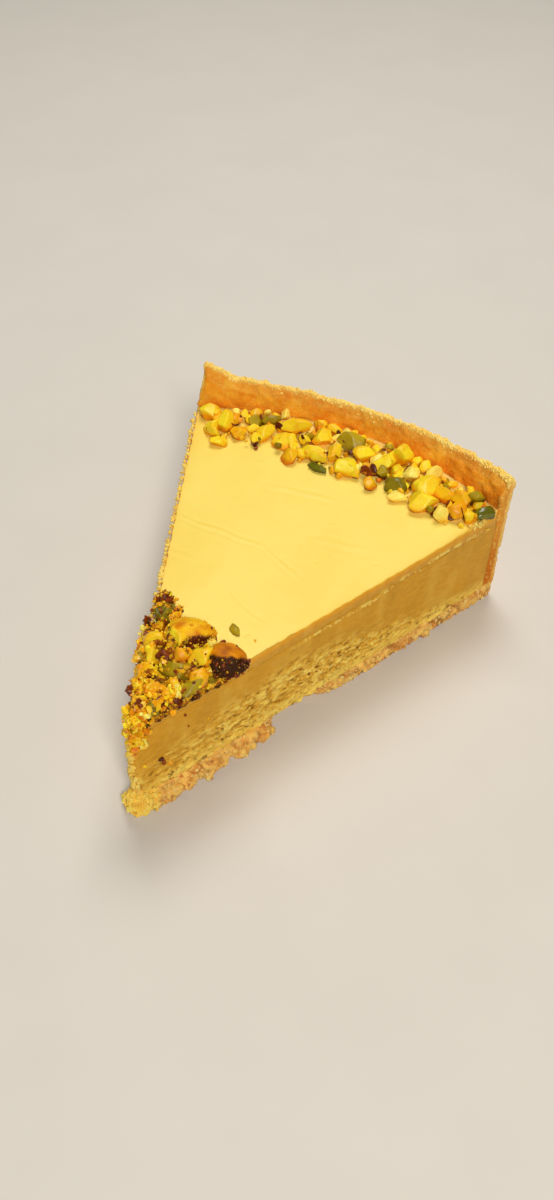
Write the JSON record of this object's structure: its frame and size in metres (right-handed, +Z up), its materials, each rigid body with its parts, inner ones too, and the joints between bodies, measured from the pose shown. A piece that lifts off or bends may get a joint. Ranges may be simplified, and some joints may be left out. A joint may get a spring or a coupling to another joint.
{
  "type": "slice of pistachio cheesecake",
  "caption": "Wedge of pistachio cheesecake in a crumbly shortcrust shell, with a pale cream top, chopped pistachios along the rim and a heap of nuts at the tip",
  "frame": {"origin": "middle of the slice's bounding box, on the flat underside that the slice stands on", "axes": "+Z is up. +Y runs along the slice's middle line from the tip to the rim. +X is to the right, seen from the tip."},
  "size_m": [0.0924, 0.1196, 0.0451],
  "materials": {
    "crust": "dry baked shortcrust, rough and crumbly, golden",
    "filling": "dense baked pistachio filling, olive-tan, soft sheen on the cut",
    "cream_top": "smooth pale-yellow cream, soft sheen, with chopped pistachios",
    "tip_heap": "ground and chopped pistachio, bright yellow-green, rough",
    "golden_kernel": "roasted kernel, golden, soft sheen",
    "brown_kernel": "roasted kernel in its thin brown skin, soft sheen"
  },
  "bodies": {
    "root": {"crust": "crust", "filling": "filling", "cream_top": "cream_top", "tip_heap": "tip_heap", "golden_kernel": "golden_kernel", "brown_kernel": "brown_kernel"}
  },
  "joints": []
}
